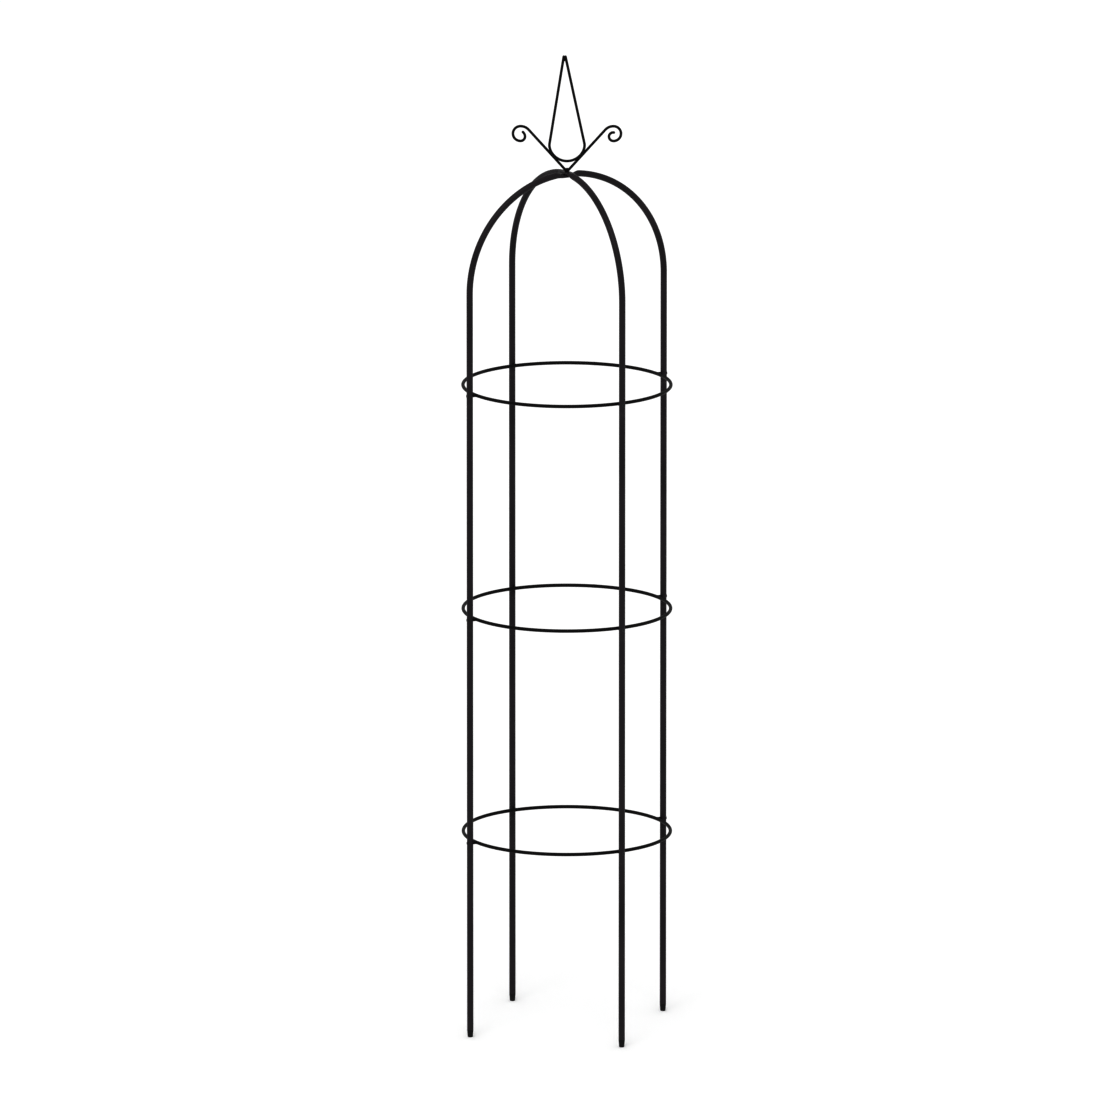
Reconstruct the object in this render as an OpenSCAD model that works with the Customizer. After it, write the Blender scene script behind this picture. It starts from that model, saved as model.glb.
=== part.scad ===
// Garden obelisk: four tube legs, three wire rings, two crossed arches and a wire finial.
// Millimetres, +Z up. Origin: on the ground, midway between the four feet.
// Leg 1 stands at +X, leg 2 at +Y, leg 3 at -X, leg 4 at -Y. The lower arch joins legs 1 and 3,
// the upper arch joins legs 2 and 4.

/* [Overall] */
// Full height from the ground to the finial tip
total_h = 1900; // [1880:10:1960]
// Radius of the circle through the leg centrelines
leg_r = 213; // [150:1:260]

/* [Tubes] */
// Outer diameter of legs and arches
tube_d = 12; // [10:0.5:16]
// Wall thickness of the tube
tube_wall = 1; // [0.8:0.1:1.2]
// Length of the swaged plug at the top of each leg section
plug_len = 40; // [20:1:60]
// Radial slack between a plug and the bore around it
plug_gap = 0.1; // [0.05:0.05:0.2]

/* [Rings] */
// Height of the lowest ring
ring_z = 382; // [300:1:450]
// Height from one ring to the next, which is also the length of a leg section
ring_step = 438; // [380:1:440]
// Wire diameter of the rings
ring_wire = 6.5; // [4:0.5:8]
// Gap between a ring wire and the leg tube, filled by the threaded boss
ring_gap = 5; // [4:0.5:12]
// Outer diameter of the threaded boss
boss_d = 6; // [6:0.5:10]

/* [Arches] */
// Height at which the straight tube turns into the arch
spring_z = 1456; // [1400:1:1460]
// Thickness of each tube where the arches are pressed flat and stacked
flat_t = 5.4; // [4.5:0.1:6]
// Length of the pressed flat
flat_len = 24; // [18:1:40]
// Length of the transition from round tube to flat
flat_ramp = 14; // [12:1:20]

/* [Finial] */
// Wire diameter of the finial
finial_wire = 5; // [4:0.5:6]
// Turn of the finial about the vertical, measured from the lower arch
finial_turn = -29.7; // [-90:0.1:90]
// Angle of the scroll arms above the horizontal
arm_rise = 48.1; // [44:0.1:50]
// Distance from the axis to the top of each scroll
scroll_x = 88.6; // [80:0.2:100]
// Half width of the teardrop loop to the wire centreline
loop_half_w = 33.5; // [30:0.5:33.5]
// Height of the loop's lowest point above the arches, to the wire centreline
loop_rise = 21.3; // [18:0.1:24]
// Sideways offset of the loop tip
loop_lean = -4.5; // [-8:0.5:8]

/* [Feet] */
// Visible length of the plastic tip
tip_h = 15; // [10:1:25]
// Diameter of the tip where it meets the ground
tip_d = 10; // [8:0.5:11.5]

/* [Fasteners] */
// Thread diameter of every screw
screw_d = 4; // [3:0.5:4.5]
// Diameter of the countersunk head
head_d = 7.2; // [6:0.1:8]
// Height of the low dome above the rim of the head
head_dome = 0.4; // [0.2:0.1:1]

/* [Hidden] */

$fn = 32;
ring_fn = 96;
bend_fn = 64;
cut = 1;

coat = [0.10, 0.10, 0.105];
plastic = [0.07, 0.07, 0.07];
steel = [0.14, 0.14, 0.145];

tube_r = tube_d / 2;
bore_r = tube_r - tube_wall;
plug_r = bore_r - plug_gap;
plug_bore_r = plug_r - tube_wall;
plug_below = plug_len / 2;
seam_bevel = 0.4;
neck_h = 4;

ring_heights = [ring_z, ring_z + ring_step, ring_z + 2 * ring_step];
seams = [for (z = ring_heights) z - plug_below];

ring_r = leg_r - tube_r - ring_gap - ring_wire / 2;
boss_cope = 2;
boss_x0 = ring_r + ring_wire / 2 - boss_cope;
boss_x1 = leg_r - tube_r;

screw_r = screw_d / 2;
clear_r = screw_r + 0.15;
thread_r = screw_r + 0.05;
head_r = head_d / 2;
touch_gap = 0.02;
sink_r = head_r + touch_gap;
shank_end = ring_r + ring_wire / 2 + 0.5;
head_seat = leg_r + tube_r;
shank_point = 0.7;
recess_w = 0.9;
recess_l = 3.8;
recess_depth = 1.2;

arch_top = spring_z + leg_r;
flat_w = flat_t + (PI * tube_d - PI * flat_t) / 2;
stack_drop = 1;
stack_z = arch_top - stack_drop;
crown_z = stack_z + flat_t;
ramp_angle = asin((flat_len / 2 + flat_ramp) / leg_r);

fin_r = finial_wire / 2;
knuckle_r = fin_r + 0.05;
fin_boss_r = 4;
fin_boss_h = 6.5;
fin_boss_roof = 2;
thread_gap = 1;
curl_1 = 21;
curl_2 = 14.4;
curl_3 = 8.6;
curl_end_left = [11.5, 50];
curl_end_right = [8, 100];
loop_corner_r = 22;
loop_bottom_r = 34;
tip_half = 1.7;
loop_tip = total_h - crown_z - knuckle_r;

// ---------- shared shapes ----------

// A straight round bar between two points of the local XZ plane
module bar(a, b, r) {
  d = b - a;
  translate([a.x, 0, a.y]) rotate([0, 90 - atan2(d.y, d.x), 0])
    cylinder(r = r, h = norm(d));
}

// A bent round bar: centre c in the local XZ plane, from angle a0 over sweep
module bend(c, radius, a0, sweep, r) {
  translate([c.x, 0, c.y]) rotate([90, 0, 0]) rotate([0, 0, a0])
    rotate_extrude(angle = sweep, $fn = bend_fn) translate([radius, 0]) circle(r = r);
}

// A faint swelling that joins two lengths of the finial wire at p
module knuckle(p) translate([p.x, 0, p.y]) sphere(r = knuckle_r);

module at_leg(n) rotate([0, 0, 90 * (n - 1)]) children();

// The hole for a screw that points along -Z with its rim at z = 0, length deep and countersunk
module screw_hole(length) {
  translate([0, 0, -length]) cylinder(r = clear_r, h = length + cut);
  translate([0, 0, clear_r - sink_r]) cylinder(r1 = clear_r, r2 = sink_r + cut, h = sink_r - clear_r + cut);
}

// A horizontal screw hole through the leg at height z, countersunk on the outside
module side_hole(z) translate([head_seat, 0, z]) rotate([0, 90, 0]) screw_hole(tube_d + cut);

// ---------- legs ----------

// A leg section: plain bore below, swaged plug above, one screw hole in the plug
// and, where another plug enters from below, a second hole around it
module leg_section(z0, z1, holes) {
  color(coat) difference() {
    translate([leg_r, 0, 0]) rotate_extrude() polygon([
      [bore_r, z0], [tube_r - seam_bevel, z0], [tube_r, z0 + seam_bevel],
      [tube_r, z1 - seam_bevel], [tube_r - seam_bevel, z1], [plug_r, z1],
      [plug_r, z1 + plug_len - seam_bevel], [plug_r - seam_bevel, z1 + plug_len],
      [plug_bore_r, z1 + plug_len], [plug_bore_r, z1 - neck_h / 2],
      [bore_r, z1 - neck_h / 2 - neck_h]
    ]);
    for (z = holes) side_hole(z);
  }
}

module leg_lower(n) at_leg(n) leg_section(tip_h, seams[0], [ring_heights[0]]);
module leg_middle(n) at_leg(n) leg_section(seams[0], seams[1], [ring_heights[0], ring_heights[1]]);
module leg_upper(n) at_leg(n) leg_section(seams[1], seams[2], [ring_heights[1], ring_heights[2]]);

module leg_1_lower() leg_lower(1);
module leg_1_middle() leg_middle(1);
module leg_1_upper() leg_upper(1);
module leg_2_lower() leg_lower(2);
module leg_2_middle() leg_middle(2);
module leg_2_upper() leg_upper(2);
module leg_3_lower() leg_lower(3);
module leg_3_middle() leg_middle(3);
module leg_3_upper() leg_upper(3);
module leg_4_lower() leg_lower(4);
module leg_4_middle() leg_middle(4);
module leg_4_upper() leg_upper(4);

// A moulded tip: tapered foot, shoulder under the tube end, ribbed plug inside the bore
module foot_tip(n) {
  foot_r = tip_d / 2;
  round_r = 1.6;
  rib = 0.25;
  plug = [tip_h + 4, tip_h + 9, tip_h + 14];
  at_leg(n) color(plastic) translate([leg_r, 0, 0]) rotate_extrude() polygon(concat(
    [[0, 0], [foot_r - round_r, 0]],
    [for (a = [15:15:75]) [foot_r - round_r + round_r * sin(a), round_r - round_r * cos(a)]],
    [[foot_r, round_r], [tube_r, tip_h - 1], [tube_r, tip_h], [bore_r - rib, tip_h]],
    [for (z = plug, p = [[-1, bore_r - rib], [0, bore_r], [1, bore_r - rib]]) [p[1], z + p[0]]],
    [[bore_r - rib, tip_h + 17], [bore_r - 1.2, tip_h + 19], [0, tip_h + 19]]
  ));
}

module foot_tip_1() foot_tip(1);
module foot_tip_2() foot_tip(2);
module foot_tip_3() foot_tip(3);
module foot_tip_4() foot_tip(4);

// ---------- rings ----------

module ring(z) color(coat) translate([0, 0, z])
  rotate_extrude($fn = ring_fn) translate([ring_r, 0]) circle(d = ring_wire);

module ring_bottom() ring(ring_heights[0]);
module ring_middle() ring(ring_heights[1]);
module ring_top() ring(ring_heights[2]);

// Four threaded bosses, coped to the wire they are welded on
module ring_bosses(z) color(coat) difference() {
  for (n = [1:4]) at_leg(n) translate([boss_x0, 0, z]) rotate([0, 90, 0]) difference() {
    cylinder(d = boss_d, h = boss_x1 - boss_x0);
    translate([0, 0, -cut]) cylinder(r = thread_r, h = boss_x1 - boss_x0 + 2 * cut);
  }
  translate([0, 0, z]) rotate_extrude($fn = ring_fn) translate([ring_r, 0]) circle(d = ring_wire);
}

module ring_bottom_bosses() ring_bosses(ring_heights[0]);
module ring_middle_bosses() ring_bosses(ring_heights[1]);
module ring_top_bosses() ring_bosses(ring_heights[2]);

// A countersunk screw with a low dome and a cross recess, pointing along -Z, its rim at z = 0
module screw(length) difference() {
  rotate_extrude() polygon([
    [0, -length], [screw_r - shank_point, -length], [screw_r, -length + shank_point],
    [screw_r, screw_r - head_r], [head_r, 0], [head_r * 0.8, head_dome * 0.5],
    [head_r * 0.5, head_dome * 0.85], [head_r * 0.2, head_dome], [0, head_dome]
  ]);
  for (a = [0, 90]) rotate([0, 0, a]) translate([-recess_l / 2, -recess_w / 2, head_dome - recess_depth])
    cube([recess_l, recess_w, recess_depth + cut]);
}

module ring_screws(z) color(steel)
  for (n = [1:4]) at_leg(n) translate([head_seat, 0, z]) rotate([0, 90, 0])
    screw(head_seat - shank_end);

module ring_bottom_screws() ring_screws(ring_heights[0]);
module ring_middle_screws() ring_screws(ring_heights[1]);
module ring_top_screws() ring_screws(ring_heights[2]);

// ---------- arches ----------

// The pressed flat in section: width across the arch by thickness, with round edges
module flat_section() {
  r = flat_t / 2;
  side = flat_w / 2 - r;
  polygon([for (s = [1, -1], a = [-90:15:90]) s * [side + r * cos(a), r * sin(a)]]);
}

// The pressed flat: its round-edged bar narrows towards both ends
module flat_plate() {
  inset = 1;
  mid = flat_len / 2;
  end = mid + flat_ramp - inset;
  narrow = tube_r - inset;
  intersection() {
    rotate([90, 0, 90]) linear_extrude(2 * end, center = true) flat_section();
    translate([0, 0, -flat_t]) linear_extrude(2 * flat_t) polygon([
      for (s = [1, -1], p = [[end, -narrow], [end, narrow], [mid, flat_w / 2], [-mid, flat_w / 2]]) s * p
    ]);
  }
}

// What the press takes away above and below the flat, tapering out along the ramps
module press_cuts() {
  mid = flat_len / 2;
  end = mid + flat_ramp;
  thin = flat_t / 2 - 0.05;
  for (m = [0, 1]) mirror([0, 0, m]) rotate([90, 0, 0]) linear_extrude(2 * tube_d, center = true)
    polygon([[-mid, thin], [mid, thin], [end, tube_r + flat_t / 2], [end, 2 * tube_d],
             [-end, 2 * tube_d], [-end, tube_r + flat_t / 2]]);
}

// The bore of one leg of an arch, closed where the press begins
module arch_bore() {
  translate([leg_r, 0, seams[2] - cut]) cylinder(r = bore_r, h = spring_z - seams[2] + cut);
  bend([0, spring_z], leg_r, 0, 90 - ramp_angle, bore_r);
}

// A whole arch; drop moves the pressed flat below or above the middle of the stack
module arch(drop) color(coat) difference() {
  union() {
    difference() {
      union() {
        bend([0, spring_z], leg_r, 0, 180, tube_r);
        for (x = [leg_r, -leg_r]) translate([x, 0, seams[2]]) cylinder(r = tube_r, h = spring_z - seams[2]);
      }
      translate([0, 0, stack_z + drop]) press_cuts();
    }
    translate([0, 0, stack_z + drop]) flat_plate();
  }
  for (m = [0, 1]) mirror([m, 0, 0]) arch_bore();
  for (s = [0, 180]) rotate([0, 0, s]) side_hole(ring_heights[2]);
  translate([0, 0, stack_z - flat_t]) rotate([180, 0, 0]) screw_hole(2 * flat_t + cut);
}

module arch_lower() arch(-flat_t / 2);
module arch_upper() rotate([0, 0, 90]) arch(flat_t / 2);

// ---------- finial ----------

module on_crown() translate([0, 0, crown_z]) rotate([0, 0, finial_turn]) children();

module finial_boss() color(coat) on_crown() difference() {
  cylinder(r = fin_boss_r, h = fin_boss_h);
  translate([0, 0, -cut]) cylinder(r = thread_r, h = fin_boss_h - fin_boss_roof + cut);
}

// One arm on the +X side: straight rise, then the inward scroll; curl_end is the radius and
// the turn of its last bend
module scroll(curl_end) {
  top = [scroll_x, scroll_x * tan(arm_rise) - (curl_1 / cos(arm_rise) - curl_1)];
  c1 = [top.x, top.y - curl_1];
  c2 = [top.x, top.y - curl_2];
  c3 = [top.x, c2.y - curl_2 + curl_3];
  c4 = [top.x - curl_3 + curl_end[0], c3.y];
  arm_end = c1 + curl_1 * [-sin(arm_rise), cos(arm_rise)];
  bar([0, 0], arm_end, fin_r);
  bend(c1, curl_1, 90, arm_rise, fin_r);
  bend(c2, curl_2, -90, 180, fin_r);
  bend(c3, curl_3, 180, 90, fin_r);
  bend(c4, curl_end[0], 180 - curl_end[1], curl_end[1], fin_r);
  for (p = [arm_end, top, top - [0, 2 * curl_2], c3 - [curl_3, 0]]) knuckle(p);
}

// The same arm cut back to the boss wall and to its own half
module scroll_clear_of_boss(curl_end) {
  reach = 3 * fin_boss_r;
  color(coat) difference() {
    scroll(curl_end);
    translate([0, 0, -reach]) cylinder(r = fin_boss_r, h = fin_boss_h + reach);
    translate([-reach, -fin_boss_r, -reach]) cube([reach, 2 * fin_boss_r, 2 * reach]);
  }
}

// The wire is the same in front of its plane and behind it, so the right arm is mirrored front to
// back and the left one side to side
module finial_scroll_right() on_crown() mirror([0, 1, 0]) scroll_clear_of_boss(curl_end_right);
module finial_scroll_left() on_crown() mirror([1, 0, 0]) scroll_clear_of_boss(curl_end_left);

// The teardrop loop, laid against the front of both arms: a bottom arc, two corner arcs and
// two straight sides that close up at the tip
module finial_teardrop() {
  cx = loop_half_w - loop_corner_r;
  lift = sqrt(pow(loop_bottom_r - loop_corner_r, 2) - cx * cx);
  bottom_c = [0, loop_rise + loop_bottom_r];
  beside = bottom_c.y * cos(arm_rise) - loop_bottom_r;
  forward = sqrt(max(0, pow(finial_wire + touch_gap, 2) - pow(beside, 2)));
  cy = bottom_c.y - lift;
  spread = atan2(cx, lift);
  color(coat) on_crown() translate([0, -forward, 0]) {
    bend(bottom_c, loop_bottom_r, -90 - spread, 2 * spread, fin_r);
    for (s = [1, -1]) {
      c = [s * cx, cy];
      tip = [loop_lean + s * tip_half, loop_tip];
      d = tip - c;
      lean = acos(loop_corner_r / norm(d));
      a1 = atan2(d.y, s * d.x) - lean;
      touch = c + loop_corner_r * [s * cos(a1), sin(a1)];
      if (s > 0) bend(c, loop_corner_r, spread - 90, a1 - spread + 90, fin_r);
      else bend(c, loop_corner_r, 180 - a1, a1 - spread + 90, fin_r);
      bar(touch, tip, fin_r);
      low = bottom_c + loop_bottom_r * [s * sin(spread), -cos(spread)];
      for (p = [low, touch, tip]) knuckle(p);
    }
  }
}

// ---------- crown screw ----------

module crown_screw() color(steel) translate([0, 0, stack_z - flat_t]) rotate([180, 0, 0])
  screw(2 * flat_t + fin_boss_h - fin_boss_roof - thread_gap);

arch_lower();
arch_upper();
leg_1_lower();
leg_1_middle();
leg_1_upper();
leg_2_lower();
leg_2_middle();
leg_2_upper();
leg_3_lower();
leg_3_middle();
leg_3_upper();
leg_4_lower();
leg_4_middle();
leg_4_upper();
foot_tip_1();
foot_tip_2();
foot_tip_3();
foot_tip_4();
ring_bottom();
ring_middle();
ring_top();
ring_bottom_bosses();
ring_middle_bosses();
ring_top_bosses();
ring_bottom_screws();
ring_middle_screws();
ring_top_screws();
finial_boss();
finial_scroll_left();
finial_scroll_right();
finial_teardrop();
crown_screw();
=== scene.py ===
"""Looks of the garden obelisk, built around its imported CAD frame. Metres, +Z up."""

import math

import bpy
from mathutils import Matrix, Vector


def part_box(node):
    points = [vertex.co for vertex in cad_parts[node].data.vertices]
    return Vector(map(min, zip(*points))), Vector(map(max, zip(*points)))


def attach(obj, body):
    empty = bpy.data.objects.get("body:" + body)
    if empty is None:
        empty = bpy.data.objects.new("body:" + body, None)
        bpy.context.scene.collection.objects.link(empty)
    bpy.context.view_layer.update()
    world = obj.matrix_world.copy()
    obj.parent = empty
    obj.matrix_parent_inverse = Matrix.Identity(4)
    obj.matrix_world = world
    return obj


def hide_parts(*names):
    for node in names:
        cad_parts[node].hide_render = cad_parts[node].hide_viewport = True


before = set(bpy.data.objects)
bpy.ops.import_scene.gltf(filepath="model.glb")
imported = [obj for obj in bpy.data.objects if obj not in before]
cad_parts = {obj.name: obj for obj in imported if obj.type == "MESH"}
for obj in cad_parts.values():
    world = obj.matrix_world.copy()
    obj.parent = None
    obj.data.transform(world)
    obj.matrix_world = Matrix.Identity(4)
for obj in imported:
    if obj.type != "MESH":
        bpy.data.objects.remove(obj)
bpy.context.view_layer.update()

MM = 0.001
UP = Vector((0, 0, 1))

# Sizes that the boxes of the CAD nodes don't give
LEGS = (1, 2, 3, 4)
LEVELS = ("bottom", "middle", "top")
WALL = 1.0 * MM
PLUG_GAP = 0.1 * MM
PLUG_LEN = 40 * MM
SEAM_BEVEL = 0.4 * MM
TIP_FOOT_D = 10 * MM
TIP_ROUND = 1.6 * MM
FLAT_T = 5.4 * MM
FLAT_HALF = 12 * MM
FLAT_RAMP = 14 * MM
ARCH_SPRING = 1456 * MM
FINIAL_R = 2.5 * MM
FINIAL_TURN = math.radians(-29.7)
ARM_RISE = math.radians(48.1)
SCROLL_TOP = 88.6 * MM
CURLS = (21 * MM, 14.4 * MM, 8.6 * MM)
CURL_END = {-1: (11.5 * MM, math.radians(50)), 1: (8 * MM, math.radians(100))}
LOOP_RISE = 21.3 * MM
LOOP_HALF_W = 33.5 * MM
LOOP_CORNER_R = 22 * MM
LOOP_BOTTOM_R = 34 * MM
LOOP_LEAN = -4.5 * MM
TIP_HALF = 1.7 * MM
TOUCH_GAP = 0.02 * MM

TUBE_SIDES = 40
WIRE_SIDES = 28
BEAD_SIDES = 12
STEP = 2.0 * MM
ARCH_STEP = 8 * MM
CREASE = math.radians(38)
POINT_R = 1e-6


# ---------- places read from the frame ----------

def span(node, axis):
    low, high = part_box(node)
    return low[axis], high[axis]


def size(node, axis):
    low, high = span(node, axis)
    return high - low


TUBE_R = size("leg_1_lower", 0) / 2
LEG_R = sum(span("leg_1_lower", 0)) / 2
RING_WIRE = size("ring_top", 2)
RING_R = size("ring_top", 0) / 2 - RING_WIRE / 2
RING_Z = {level: sum(span(f"ring_{level}", 2)) / 2 for level in LEVELS}
TIP_Z = span("leg_1_lower", 2)[0]
SEAMS = [span(f"leg_1_{part}", 2)[1] - PLUG_LEN for part in ("lower", "middle", "upper")]
CROWN_Z = span("finial_boss", 2)[0]
TOP_Z = span("finial_teardrop", 2)[1]
BOSS_R = size("finial_boss", 0) / 2
STACK_Z = CROWN_Z - FLAT_T


# ---------- mesh building ----------

def smooth(t):
    t = min(max(t, 0.0), 1.0)
    return t * t * (3 - 2 * t)


def add_piece(name, verts, faces, material, wear=None, nodes=()):
    """One smooth mesh object that rides on the root body; wear is a value from 0 to 1 a vertex."""
    mesh = bpy.data.meshes.new(name)
    mesh.from_pydata([tuple(v) for v in verts], [], faces)
    mesh.validate()
    mesh.shade_smooth()
    mesh.set_sharp_from_angle(angle=CREASE)
    attribute = mesh.attributes.new("wear", "FLOAT", "POINT")
    attribute.data.foreach_set("value", wear or [0.0] * len(verts))
    mesh.materials.append(material)
    piece = bpy.data.objects.new(name, mesh)
    bpy.context.scene.collection.objects.link(piece)
    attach(piece, "root")
    if nodes:
        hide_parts(*nodes)
    return piece


class Solid:
    """Collects vertices, faces and wear of one piece."""

    def __init__(self):
        self.verts, self.faces, self.wear = [], [], []

    def rings(self, rows, closed=False, wear=None):
        """Skins rows of vertices, each a closed round; caps both ends unless the rows close up."""
        start, sides = len(self.verts), len(rows[0])
        for i, row in enumerate(rows):
            self.verts += row
            self.wear += [wear[i] if wear else 0.0] * sides
        count = len(rows)
        for i in range(count if closed else count - 1):
            a, b = start + i * sides, start + (i + 1) % count * sides
            for j in range(sides):
                k = (j + 1) % sides
                self.faces.append((a + j, a + k, b + k, b + j))
        if not closed:
            self.faces.append(tuple(start + j for j in reversed(range(sides))))
            self.faces.append(tuple(start + (count - 1) * sides + j for j in range(sides)))

    def add(self, name, material, slot, nodes=()):
        return add_piece(name, self.verts, self.faces, material, self.wear, nodes)


def circle(radius, sides):
    turn = math.tau / sides
    return [(radius * math.cos(i * turn), radius * math.sin(i * turn)) for i in range(sides)]


def lathe_rows(profile, centre, sides):
    """Rows of an upright solid of revolution: profile holds (radius, height) from centre."""
    return [
        [centre + Vector((x, y, z)) for x, y in circle(max(r, POINT_R), sides)]
        for r, z in profile
    ]


def sweep_rows(points, normal, sections, closed=False):
    """Rows of a bar along a path in the plane of normal; a section holds (along normal, in plane)."""
    rows, count = [], len(points)
    for i, point in enumerate(points):
        before = points[i - 1] if i or closed else point
        after = points[(i + 1) % count] if i < count - 1 or closed else point
        tangent = (after - before).normalized()
        side = normal.cross(tangent).normalized()
        rows.append([point + normal * a + side * b for a, b in sections[i]])
    return rows


def arc(centre, radius, start, turn, step=STEP):
    """Points on an arc of the (u, v) plane, the first and last included."""
    count = max(6, round(abs(turn) * radius / step), round(abs(turn) / math.radians(5)))
    return [
        (centre[0] + radius * math.cos(start + turn * i / count),
         centre[1] + radius * math.sin(start + turn * i / count))
        for i in range(count + 1)
    ]


def line(a, b, step=STEP * 3):
    count = max(1, round(math.dist(a, b) / step))
    step_u, step_v = (b[0] - a[0]) / count, (b[1] - a[1]) / count
    return [(a[0] + step_u * i, a[1] + step_v * i) for i in range(count + 1)]


def join(*runs):
    """One path from runs that share their end points."""
    path = list(runs[0])
    for run in runs[1:]:
        path += run[1:]
    return path


def lengths(points):
    """Distance along the path at each point."""
    out = [0.0]
    for a, b in zip(points, points[1:]):
        out.append(out[-1] + (b - a).length)
    return out


def dome_ends(points, radius, steps=5):
    """Extends a path by rounded ends: returns points and the radius at each."""
    head = (points[0] - points[1]).normalized()
    tail = (points[-1] - points[-2]).normalized()
    caps = [math.radians(88) * i / steps for i in range(1, steps + 1)]
    first = [(points[0] + head * radius * math.sin(a), radius * math.cos(a)) for a in reversed(caps)]
    last = [(points[-1] + tail * radius * math.sin(a), radius * math.cos(a)) for a in caps]
    both = first + [(p, radius) for p in points] + last
    return [p for p, r in both], [r for p, r in both]


# ---------- materials ----------

def node_material(name):
    material = bpy.data.materials.new(name)
    material.use_nodes = True
    nodes = material.node_tree.nodes
    return material, nodes, material.node_tree.links, nodes["Principled BSDF"]


def noise(nodes, links, coords, scale, detail=2.0, roughness=0.5):
    node = nodes.new("ShaderNodeTexNoise")
    node.inputs["Scale"].default_value = scale
    node.inputs["Detail"].default_value = detail
    node.inputs["Roughness"].default_value = roughness
    links.new(coords, node.inputs["Vector"])
    return node.outputs["Fac"]


def ramp(nodes, links, factor, stops):
    node = nodes.new("ShaderNodeValToRGB")
    elements = node.color_ramp.elements
    for i, (position, colour) in enumerate(stops):
        element = elements[i] if i < 2 else elements.new(position)
        element.position = position
        element.color = (*colour, 1) if isinstance(colour, tuple) else (colour, colour, colour, 1)
    links.new(factor, node.inputs["Fac"])
    return node.outputs["Color"]


def math_node(nodes, links, operation, a, b):
    node = nodes.new("ShaderNodeMath")
    node.operation = operation
    node.use_clamp = True
    for socket, value in zip(node.inputs, (a, b)):
        if isinstance(value, (int, float)):
            socket.default_value = value
        else:
            links.new(value, socket)
    return node.outputs["Value"]


def mix_colour(nodes, links, factor, a, b):
    node = nodes.new("ShaderNodeMix")
    node.data_type = "RGBA"
    links.new(factor, node.inputs["Factor"])
    for key, value in (("A", a), ("B", b)):
        socket = [s for s in node.inputs if s.name == key and s.type == "RGBA"][0]
        if isinstance(value, tuple):
            socket.default_value = (*value, 1)
        else:
            links.new(value, socket)
    return [s for s in node.outputs if s.type == "RGBA"][0]


# Noise scales, in features a metre
SCALE = {
    "drift": 9, "fleck": 2300, "scuff": 900, "dust": 75, "gloss": 38, "fine_peel": 950, "coarse_peel": 260,
}
DUST_TOP = 0.09
PEEL_DEPTH = 0.12 * MM


def coat_material(name, dark, light, worn, rough, specular, peel, wear_gain):
    """Sprayed black finish: colour drift, orange peel, uneven gloss, rubbed edges, dust near the ground."""
    material, nodes, links, shader = node_material(name)
    coords = nodes.new("ShaderNodeTexCoord").outputs["Object"]
    drift = noise(nodes, links, coords, SCALE["drift"], 3)
    colour = ramp(nodes, links, drift, [(0.3, dark), (0.7, light)])

    fleck = noise(nodes, links, coords, SCALE["fleck"], 1)
    fleck = ramp(nodes, links, fleck, [(0.68, 0.0), (0.76, 0.16)])
    colour = mix_colour(nodes, links, fleck, colour, worn)

    wear = nodes.new("ShaderNodeAttribute")
    wear.attribute_name = "wear"
    scuff = noise(nodes, links, coords, SCALE["scuff"], 4, 0.6)
    scuff = ramp(nodes, links, scuff, [(0.44, 0.0), (0.66, 1.0)])
    rubbed = math_node(nodes, links, "MULTIPLY", wear.outputs["Fac"], scuff)
    rubbed = math_node(nodes, links, "MULTIPLY", rubbed, wear_gain)
    colour = mix_colour(nodes, links, rubbed, colour, worn)

    height = nodes.new("ShaderNodeSeparateXYZ")
    links.new(coords, height.inputs["Vector"])
    low = ramp(nodes, links, height.outputs["Z"], [(0.0, 1.0), (DUST_TOP, 0.0)])
    dust = noise(nodes, links, coords, SCALE["dust"], 5, 0.65)
    dust = ramp(nodes, links, dust, [(0.45, 0.0), (0.8, 0.2)])
    dust = math_node(nodes, links, "MULTIPLY", low, dust)
    colour = mix_colour(nodes, links, dust, colour, DUST)
    links.new(colour, shader.inputs["Base Color"])

    patches = noise(nodes, links, coords, SCALE["gloss"], 3)
    gloss = ramp(nodes, links, patches, [(0.3, rough - 0.05), (0.7, rough + 0.07)])
    gloss = math_node(nodes, links, "ADD", gloss, math_node(nodes, links, "MULTIPLY", dust, 0.6))
    links.new(gloss, shader.inputs["Roughness"])
    shader.inputs["Specular IOR Level"].default_value = specular

    fine = noise(nodes, links, coords, SCALE["fine_peel"], 2)
    coarse = noise(nodes, links, coords, SCALE["coarse_peel"], 2)
    relief = math_node(nodes, links, "ADD", math_node(nodes, links, "MULTIPLY", fine, 0.6),
                       math_node(nodes, links, "MULTIPLY", coarse, 0.4))
    bump = nodes.new("ShaderNodeBump")
    bump.inputs["Strength"].default_value = peel
    bump.inputs["Distance"].default_value = PEEL_DEPTH
    links.new(relief, bump.inputs["Height"])
    links.new(bump.outputs["Normal"], shader.inputs["Normal"])
    return material


DUST = (0.095, 0.088, 0.080)
# The tubes' powder coat; the wires below get a darker copy of the same coat.
POWDER = coat_material(
    "powder_coat", dark=(0.020, 0.0178, 0.020), light=(0.034, 0.029, 0.033), worn=(0.085, 0.082, 0.080),
    rough=0.44, specular=0.17, peel=0.45, wear_gain=0.6)
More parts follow.
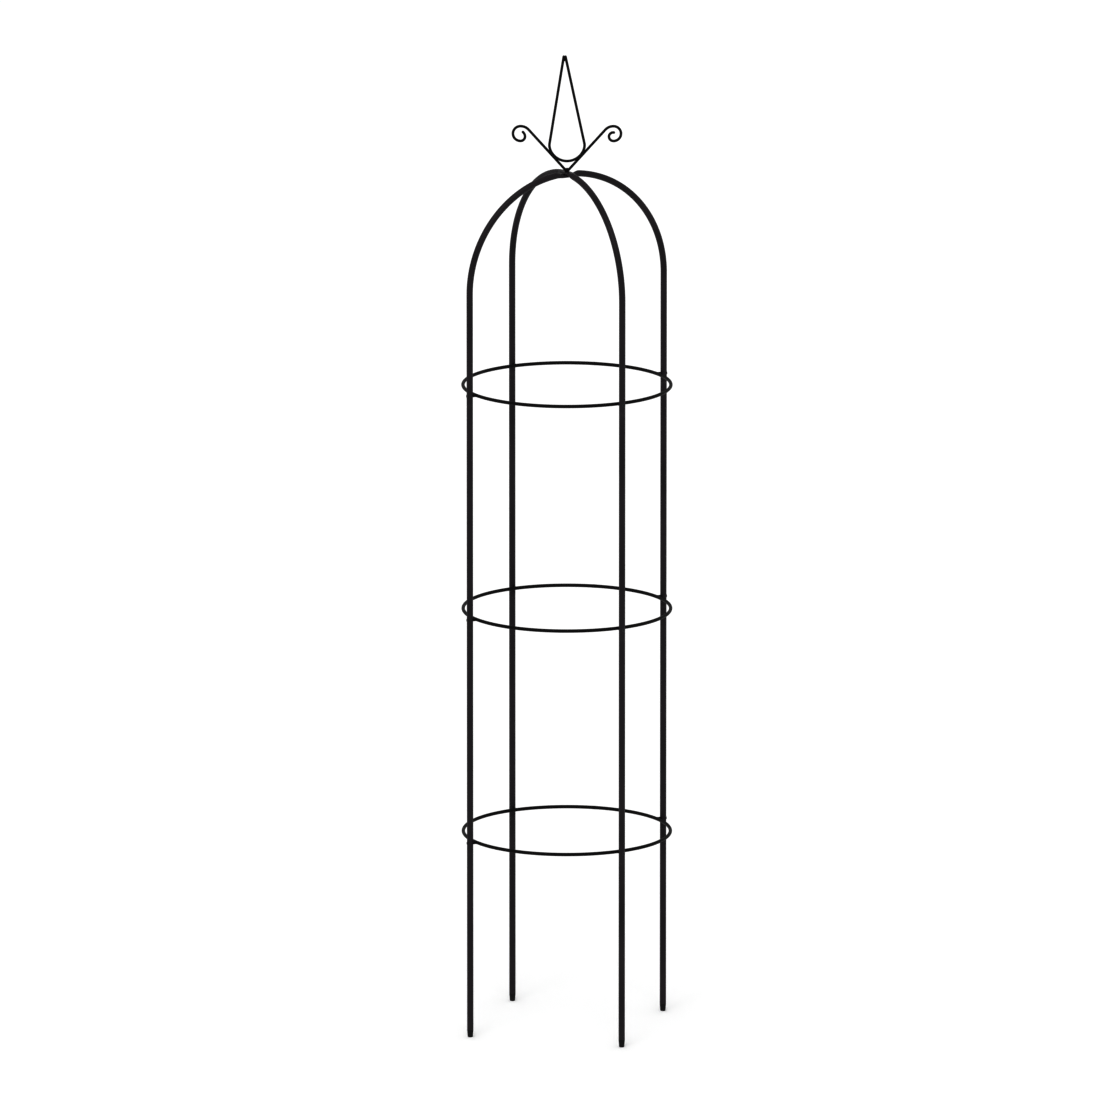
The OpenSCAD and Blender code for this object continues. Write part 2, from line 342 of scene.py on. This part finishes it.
# Painted shade: the same powder coat as the tubes, made darker on the rings, bosses and finial wires,
# standing in for the highlight that the thicker tubes catch and the thin wires don't.
SHADED_WIRE_COAT = coat_material(
    "powder_coat_wire_painted_shade", dark=(0.0060, 0.0058, 0.0060), light=(0.0105, 0.0100, 0.0104),
    worn=(0.060, 0.058, 0.057), rough=0.47, specular=0.10, peel=0.45, wear_gain=0.5)
SCREW = coat_material(
    "screw_coat", dark=(0.024, 0.024, 0.025), light=(0.036, 0.036, 0.038), worn=(0.18, 0.18, 0.18),
    rough=0.32, specular=0.30, peel=0.2, wear_gain=0.6)
PLASTIC = coat_material(
    "foot_plastic", dark=(0.013, 0.013, 0.0133), light=(0.019, 0.019, 0.0195), worn=(0.050, 0.050, 0.050),
    rough=0.60, specular=0.18, peel=0.8, wear_gain=0.5)


# ---------- legs and feet ----------

SEAM_ROWS = [distance * MM for distance in (0, 1, 2.5, 5, 9)]
WALL_ROWS = 24
LIP_CORNER = 0.3
SHOULDER_STEP = 0.05 * MM
NECK = (2 * MM, 6 * MM)
SEAM_WEAR_REACH = 1.5 * MM
TIP_SHOULDER = 1.2 * MM
TIP_BEVEL = 0.3 * MM
TIP_GAP = 0.01 * MM
TIP_PLUG_TAPER = 1.2 * MM
TIP_WEAR_REACH = 2.5 * MM


def leg_axis(n):
    turn = math.radians(90 * (n - 1))
    return Vector((math.cos(turn), math.sin(turn), 0))


def end_wear(z, ends):
    """Rubbing at the ends of a tube, which fades along it."""
    return max(math.exp(-abs(z - end) / SEAM_WEAR_REACH) for end in ends)


def leg_tube(n, part, z0, z1):
    """A leg section as a hollow turned body: rounded lips, long wall and swaged plug, with no screw holes."""
    bore = TUBE_R - WALL
    plug = bore - PLUG_GAP
    lip = SEAM_BEVEL
    corner = LIP_CORNER * lip
    low, high = z0 + lip, z1 - lip
    wall = [low + d for d in SEAM_ROWS]
    wall += [low + (high - low) * i / WALL_ROWS for i in range(1, WALL_ROWS)]
    wall += [high - d for d in reversed(SEAM_ROWS)]
    outer = [(TUBE_R - lip, z0), (TUBE_R - corner, z0 + corner)] + [(TUBE_R, z) for z in wall]
    outer += [(TUBE_R - corner, z1 - corner), (TUBE_R - lip, z1), (plug, z1 + SHOULDER_STEP)]
    outer += [(plug, z1 + PLUG_LEN - lip), (plug - lip, z1 + PLUG_LEN)]
    inner = [(plug - WALL, z1 + PLUG_LEN), (plug - WALL, z1 - NECK[0]), (bore, z1 - NECK[1]), (bore, z0)]
    profile = outer + inner
    wear = [end_wear(z, (z0, z1)) if r > bore else 0 for r, z in profile]
    solid = Solid()
    solid.rings(lathe_rows(profile, leg_axis(n) * LEG_R, TUBE_SIDES), closed=True, wear=wear)
    node = f"leg_{n}_{part}"
    return solid.add(f"{node}_tube", POWDER, "powder_coat", [node])


def foot_tip(n):
    """Moulded tip: rounded sole, taper, bevelled shoulder and a plug inside the tube."""
    node = f"foot_tip_{n}"
    foot_r = TIP_FOOT_D / 2
    top = span(node, 2)[1]
    plug = TUBE_R - WALL
    sole = [math.radians(a) for a in range(15, 91, 15)]
    profile = [(0, 0), (foot_r - TIP_ROUND, 0)]
    profile += [(foot_r - TIP_ROUND * (1 - math.sin(a)), TIP_ROUND * (1 - math.cos(a))) for a in sole]
    profile += [(foot_r + (TUBE_R - foot_r) * t, TIP_ROUND + (TIP_Z - TIP_SHOULDER - TIP_ROUND) * t)
                for t in (0.25, 0.5, 0.75, 1.0)]
    profile += [(TUBE_R, TIP_Z - TIP_BEVEL), (TUBE_R - TIP_BEVEL, TIP_Z - TIP_GAP), (plug - TIP_BEVEL, TIP_Z)]
    profile += [(plug - TIP_BEVEL, top - 2 * MM), (plug - TIP_PLUG_TAPER, top), (0, top)]
    wear = [math.exp(-z / TIP_WEAR_REACH) for r, z in profile]
    solid = Solid()
    solid.rings(lathe_rows(profile, leg_axis(n) * LEG_R, TUBE_SIDES), wear=wear)
    return solid.add(f"{node}_moulding", PLASTIC, "foot_plastic", [node])


# ---------- rings ----------

BUTT_TURN = math.radians(45)
BUTT_REACH = 3.5 * MM
BUTT_SWELL = 0.06
RING_WEAR = 0.08
RING_STEPS = 360


def ring_wire(level):
    """A closed wire ring with the slight swelling of its ground butt weld."""
    node, z = f"ring_{level}", RING_Z[level]
    points, sections, wear = [], [], []
    for i in range(RING_STEPS):
        turn = math.tau * i / RING_STEPS
        away = abs((turn - BUTT_TURN + math.pi) % math.tau - math.pi) * RING_R
        swell = 1 + BUTT_SWELL * math.exp(-(away / BUTT_REACH) ** 2)
        points.append(Vector((RING_R * math.cos(turn), RING_R * math.sin(turn), z)))
        sections.append(circle(RING_WIRE / 2 * swell, WIRE_SIDES))
        wear.append(RING_WEAR)
    solid = Solid()
    solid.rings(sweep_rows(points, UP, sections, closed=True), closed=True, wear=wear)
    return solid.add(f"{node}_wire", SHADED_WIRE_COAT, "powder_coat", [node])


BEAD_PITCH = 1.6 * MM
RING_WELD_R = 0.55 * MM
RING_WELD_STEPS = 48
RING_WELD_RIPPLES = 13


def bead(solid, points, normal, radius):
    """A weld bead: a thin bar whose girth ripples and fades at both ends."""
    along = lengths(points)
    total = along[-1]
    sections = []
    for s in along:
        ripple = 0.86 + 0.14 * abs(math.sin(math.pi * s / BEAD_PITCH))
        fade = math.sqrt(max(0.02, min(1.0, s / radius, (total - s) / radius)))
        sections.append(circle(radius * ripple * fade, BEAD_SIDES))
    solid.rings(sweep_rows(points, normal, sections))


def straight(a, b, count):
    return [a.lerp(b, i / count) for i in range(count + 1)]


def ring_welds(level):
    """A rippled fillet all round each boss, along the line where it meets the wire."""
    solid = Solid()
    boss_r = size(f"ring_{level}_bosses", 2) / 2
    turns = [math.tau * i * RING_WELD_RIPPLES / RING_WELD_STEPS for i in range(RING_WELD_STEPS)]
    sections = [circle(RING_WELD_R * (0.88 + 0.12 * math.cos(turn)), BEAD_SIDES) for turn in turns]
    for n in LEGS:
        out = leg_axis(n)
        along = UP.cross(out)
        points = []
        for y, z in circle(boss_r, RING_WELD_STEPS):
            reach = math.sqrt(max(0.0, (RING_WIRE / 2) ** 2 - z * z))
            points.append(out * (RING_R + reach) + along * y + UP * (RING_Z[level] + z))
        solid.rings(sweep_rows(points, out, sections, closed=True), closed=True)
    return solid.add(f"ring_{level}_welds", SHADED_WIRE_COAT, "powder_coat")


# ---------- arches ----------

FLAT_WEAR = 0.2


def flat_outline(sides):
    """Section of the pressed flat: the tube's girth squeezed into a round-ended strip."""
    width = FLAT_T + math.pi * (2 * TUBE_R - FLAT_T) / 2
    r, straight_half = FLAT_T / 2, width / 2 - FLAT_T / 2
    out = []
    for x, y in circle(1.0, sides):
        side = math.copysign(1, x) if abs(x) > 1e-9 else 0
        bend = min(1.0, abs(x) * 1.6)
        out.append((side * straight_half * bend + x * r, y * r * (1 + 0.25 * (1 - y * y))))
    peak = max(abs(y) for x, y in out)
    return [(x, y * r / peak) for x, y in out]


def arch(node, direction, centre_z):
    """A bent tube with straight ends, its middle pressed flat and moved to centre_z."""
    path = join(line((LEG_R, SEAMS[2]), (LEG_R, ARCH_SPRING), ARCH_STEP),
                arc((0, ARCH_SPRING), LEG_R, 0, math.pi),
                line((-LEG_R, ARCH_SPRING), (-LEG_R, SEAMS[2]), ARCH_STEP))
    across = UP.cross(direction)
    round_tube, flat_tube = circle(TUBE_R, TUBE_SIDES), flat_outline(TUBE_SIDES)
    points, sections, wear = [], [], []
    for u, v in path:
        press = 1 - smooth((abs(u) - FLAT_HALF) / FLAT_RAMP) if v > ARCH_SPRING + LEG_R / 2 else 0.0
        points.append(direction * u + UP * (v + (centre_z - v) * press))
        sections.append([(a + (c - a) * press, b + (d - b) * press)
                         for (a, b), (c, d) in zip(round_tube, flat_tube)])
        wear.append(max(FLAT_WEAR * press, end_wear(v, (SEAMS[2],))))
    lip, inset = circle(TUBE_R - SEAM_BEVEL, TUBE_SIDES), SEAM_BEVEL / ARCH_STEP
    start, end = points[0].lerp(points[1], inset), points[-1].lerp(points[-2], inset)
    points = [points[0], start] + points[1:-1] + [end, points[-1]]
    sections = [lip, round_tube] + sections[1:-1] + [round_tube, lip]
    wear = [wear[0], 1.0] + wear[1:-1] + [1.0, wear[-1]]
    solid = Solid()
    solid.rings(sweep_rows(points, across, sections), wear=wear)
    return solid.add(f"{node}_tube", POWDER, "powder_coat", [node])


# ---------- finial ----------

FINIAL_U = Vector((math.cos(FINIAL_TURN), math.sin(FINIAL_TURN), 0))
FINIAL_N = FINIAL_U.cross(UP)
WIRE_WEAR = 0.06
ROOT_U = BOSS_R - 1.5 * MM
ARM_WELD_HALF = 3.2 * MM
ARM_WELD_R = 0.75 * MM
ARM_WELD_OFF = 1.5 * MM
TIP_WELD = (1.6 * MM, 11 * MM)
TIP_WELD_R = 0.8 * MM
TIP_WELD_OFF = 1.4 * MM


def on_crown(path, side=1):
    """Maps (u, v) points of the finial's plane into the frame; side -1 mirrors them."""
    return [FINIAL_U * (u * side) + UP * (CROWN_Z + v) for u, v in path]


def wire(solid, points, radius):
    """A round wire with domed ends and the same slight wear all along."""
    points, radii = dome_ends(points, radius)
    sections = [circle(r, WIRE_SIDES) for r in radii]
    solid.rings(sweep_rows(points, FINIAL_N, sections), wear=[WIRE_WEAR] * len(points))


def scroll_path(side):
    """From the boss wall straight up the arm, then the inward scroll, whose end is given for each side."""
    r1, r2, r3 = CURLS
    r4, last_turn = CURL_END[side]
    top = (SCROLL_TOP, SCROLL_TOP * math.tan(ARM_RISE) - (r1 / math.cos(ARM_RISE) - r1))
    c1 = (top[0], top[1] - r1)
    c2 = (top[0], top[1] - r2)
    c3 = (top[0], c2[1] - r2 + r3)
    c4 = (top[0] - r3 + r4, c3[1])
    quarter = math.pi / 2
    first = arc(c1, r1, quarter + ARM_RISE, -ARM_RISE)
    root = (ROOT_U, ROOT_U * math.tan(ARM_RISE))
    return join(line(root, first[0]), first, arc(c2, r2, quarter, -math.pi),
                arc(c3, r3, -quarter, -quarter), arc(c4, r4, math.pi, -last_turn))


def finial_scroll(node, side):
    solid = Solid()
    wire(solid, on_crown(scroll_path(side), side), FINIAL_R)
    return solid.add(f"{node}_wire", SHADED_WIRE_COAT, "powder_coat", [node])


def loop_path():
    """Half outlines of the teardrop from its lowest point to the tip, right then left."""
    bottom = (0.0, LOOP_RISE + LOOP_BOTTOM_R)
    cx = LOOP_HALF_W - LOOP_CORNER_R
    lift = math.sqrt((LOOP_BOTTOM_R - LOOP_CORNER_R) ** 2 - cx ** 2)
    spread = math.atan2(cx, lift)
    corner = (cx, bottom[1] - lift)
    tip_v = TOP_Z - CROWN_Z - FINIAL_R
    halves = []
    for side in (1, -1):
        tip = (side * LOOP_LEAN + TIP_HALF, tip_v)
        d = (tip[0] - corner[0], tip[1] - corner[1])
        end = math.atan2(d[1], d[0]) - math.acos(LOOP_CORNER_R / math.hypot(*d))
        low = arc(bottom, LOOP_BOTTOM_R, -math.pi / 2, spread)
        turn = arc(corner, LOOP_CORNER_R, spread - math.pi / 2, end - spread + math.pi / 2)
        half = join(low, turn, line(turn[-1], tip))
        halves.append([(side * u, v) for u, v in half])
    return halves


def loop_lie():
    """How far the loop's wire runs beside each arm, seen from the front, and how far in front of it."""
    beside = (LOOP_RISE + LOOP_BOTTOM_R) * math.cos(ARM_RISE) - LOOP_BOTTOM_R
    return beside, math.sqrt((2 * FINIAL_R + TOUCH_GAP) ** 2 - beside ** 2)


def finial_teardrop():
    right, left = loop_path()
    path = list(reversed(left)) + right[1:]
    forward = FINIAL_N * loop_lie()[1]
    solid = Solid()
    wire(solid, [point + forward for point in on_crown(path)], FINIAL_R)
    return solid.add("finial_teardrop_wire", SHADED_WIRE_COAT, "powder_coat", ["finial_teardrop"])


def finial_welds():
    """Short beads where the teardrop lies on the arms and between its two ends at the tip."""
    solid = Solid()
    rise = (math.cos(ARM_RISE), math.sin(ARM_RISE))
    beside, forward = loop_lie()
    apart = math.hypot(beside, forward)
    for side in (1, -1):
        arm = FINIAL_U * (side * rise[0]) + UP * rise[1]
        outward = FINIAL_U * (side * rise[1]) - UP * rise[0]
        nearest = UP * (CROWN_Z + LOOP_RISE + LOOP_BOTTOM_R) + outward * (LOOP_BOTTOM_R + beside / 2)
        contact = nearest + FINIAL_N * (forward / 2)
        across = (outward * forward + FINIAL_N * beside) / apart
        for face in (1, -1):
            spot = contact + across * (face * ARM_WELD_OFF)
            run = straight(spot - arm * ARM_WELD_HALF, spot + arm * ARM_WELD_HALF, 24)
            bead(solid, run, across, ARM_WELD_R)
    tip = [point + FINIAL_N * forward for point in
           on_crown([(LOOP_LEAN, TOP_Z - CROWN_Z - drop) for drop in TIP_WELD])]
    for face in (1, -1):
        offset = FINIAL_N * (face * TIP_WELD_OFF)
        bead(solid, straight(tip[0] + offset, tip[1] + offset, 32), FINIAL_N, TIP_WELD_R)
    return solid.add("finial_welds", SHADED_WIRE_COAT, "powder_coat")


# ---------- CAD nodes that stay ----------

EDGE_BEVEL = 0.2 * MM
EDGE_ANGLE = math.radians(40)


def finish_node(node, material):
    """Gives a CAD node its material and fine edge rounding."""
    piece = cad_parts[node]
    piece.data.materials.clear()
    piece.data.materials.append(material)
    bevel = piece.modifiers.new("edge", "BEVEL")
    bevel.width = EDGE_BEVEL
    bevel.segments = 2
    bevel.limit_method = "ANGLE"
    bevel.angle_limit = EDGE_ANGLE
    bevel.harden_normals = True


# ---------- stage, light and camera ----------

FLOOR_HALF = 60.0


def plain_material(name, colour, rough):
    material, _, _, shader = node_material(name)
    shader.inputs["Base Color"].default_value = (*colour, 1)
    shader.inputs["Roughness"].default_value = rough
    shader.inputs["Specular IOR Level"].default_value = 0.1
    return material


def floor():
    half = FLOOR_HALF
    corners = [(-half, -half, 0), (half, -half, 0), (half, half, 0), (-half, half, 0)]
    mesh = bpy.data.meshes.new("floor")
    mesh.from_pydata(corners, [], [(0, 1, 2, 3)])
    mesh.materials.append(plain_material("floor_paper", (0.93, 0.93, 0.93), 0.9))
    piece = bpy.data.objects.new("floor", mesh)
    bpy.context.scene.collection.objects.link(piece)


def world_light(strength):
    world = bpy.data.worlds.new("studio")
    world.use_nodes = True
    background = world.node_tree.nodes["Background"]
    background.inputs["Color"].default_value = (1, 1, 1, 1)
    background.inputs["Strength"].default_value = strength
    bpy.context.scene.world = world


def sun(name, azimuth, height, strength, softness):
    light = bpy.data.lights.new(name, "SUN")
    light.energy = strength
    light.angle = math.radians(softness)
    lamp = bpy.data.objects.new(name, light)
    a, h = math.radians(azimuth), math.radians(height)
    toward = Vector((-math.sin(a) * math.cos(h), -math.cos(a) * math.cos(h), math.sin(h)))
    lamp.rotation_euler = toward.to_track_quat("Z", "Y").to_euler()
    bpy.context.scene.collection.objects.link(lamp)


VIEW_TURN = math.radians(29.52)
VIEW_RISE = math.radians(12.61)
VIEW_DISTANCE = 40.0
FRAME_WIDTH = 2.10732
AIM_LEFT = 0.03238
AIM_UP = 0.1112
CONTRAST = 0.65


def camera():
    """A long lens at the picture's angle; the aim point is set off the middle ring's centre."""
    ahead = Vector((math.sin(VIEW_TURN) * math.cos(VIEW_RISE), math.cos(VIEW_TURN) * math.cos(VIEW_RISE),
                    -math.sin(VIEW_RISE)))
    right = ahead.cross(UP).normalized()
    above = right.cross(ahead)
    aim = UP * RING_Z["middle"] - right * AIM_LEFT + above * AIM_UP
    data = bpy.data.cameras.new("camera")
    data.sensor_width = 36.0
    data.lens = data.sensor_width * VIEW_DISTANCE / FRAME_WIDTH
    data.clip_end = 500.0
    eye = bpy.data.objects.new("camera", data)
    eye.location = aim - ahead * VIEW_DISTANCE
    eye.rotation_euler = (-ahead).to_track_quat("Z", "Y").to_euler()
    bpy.context.scene.collection.objects.link(eye)
    bpy.context.scene.camera = eye


def main():
    camera()
    for n in LEGS:
        for part, z0, z1 in (("lower", TIP_Z, SEAMS[0]), ("middle", SEAMS[0], SEAMS[1]),
                             ("upper", SEAMS[1], SEAMS[2])):
            leg_tube(n, part, z0, z1)
        foot_tip(n)
    for level in LEVELS:
        ring_wire(level)
        ring_welds(level)
        finish_node(f"ring_{level}_bosses", SHADED_WIRE_COAT)
        finish_node(f"ring_{level}_screws", SCREW)
    arch("arch_lower", Vector((1, 0, 0)), STACK_Z - FLAT_T / 2)
    arch("arch_upper", Vector((0, 1, 0)), STACK_Z + FLAT_T / 2)
    finish_node("crown_screw", SCREW)
    finish_node("finial_boss", SHADED_WIRE_COAT)
    finial_scroll("finial_scroll_right", 1)
    finial_scroll("finial_scroll_left", -1)
    finial_teardrop()
    finial_welds()
    floor()
    world_light(strength=0.85)
    sun("key", azimuth=40, height=50, strength=1.2, softness=40)
    view = bpy.context.scene.view_settings
    view.view_transform = "Standard"
    view.gamma = CONTRAST


main()
